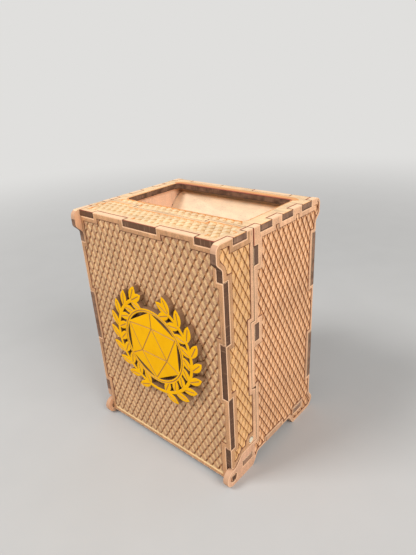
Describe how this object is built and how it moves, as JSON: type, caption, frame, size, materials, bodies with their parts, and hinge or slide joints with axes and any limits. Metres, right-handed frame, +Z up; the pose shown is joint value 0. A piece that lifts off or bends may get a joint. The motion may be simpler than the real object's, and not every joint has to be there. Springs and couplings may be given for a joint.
{
  "type": "folding dice tower",
  "caption": "Dice tower cut from wooden sheet: a hopper and ramps in a finger-jointed box, with a front that folds down as a rolling tray.",
  "frame": {"origin": "on the table, under the middle of the closed tower", "axes": "+Z up, -Y the front that folds down, +X to the right seen from the front"},
  "size_m": [0.096, 0.0826, 0.13],
  "materials": {
    "engraved_wood": "laser-engraved scale pattern, dark burnt edges",
    "plain_wood": "smooth, unfinished",
    "yellow_wood": "yellow paint, engraved lines",
    "bright_steel": "nickel-plated magnet"
  },
  "bodies": {
    "tower": {"side_panel_right": "engraved_wood", "side_panel_left": "engraved_wood", "back_panel": "engraved_wood", "top_frame": "engraved_wood", "base_panel": "plain_wood", "partition": "plain_wood", "liner_right": "plain_wood", "liner_left": "plain_wood", "upper_ramp": "plain_wood", "middle_ramp": "plain_wood", "exit_ramp": "plain_wood", "tower_magnet_right": "bright_steel", "tower_magnet_left": "bright_steel"},
    "tray": {"tray_floor": "engraved_wood", "tray_side_right": "engraved_wood", "tray_side_left": "engraved_wood", "tray_end": "engraved_wood", "tray_magnet_right": "bright_steel", "tray_magnet_left": "bright_steel", "emblem": "yellow_wood"}
  },
  "joints": [
    {"name": "tray_fold", "type": "hinge", "parent": "tower", "child": "tray", "pos_m": [0, -0.03625, 0.005], "axis": [1, 0, 0], "range_deg": [0, 90]}
  ]
}
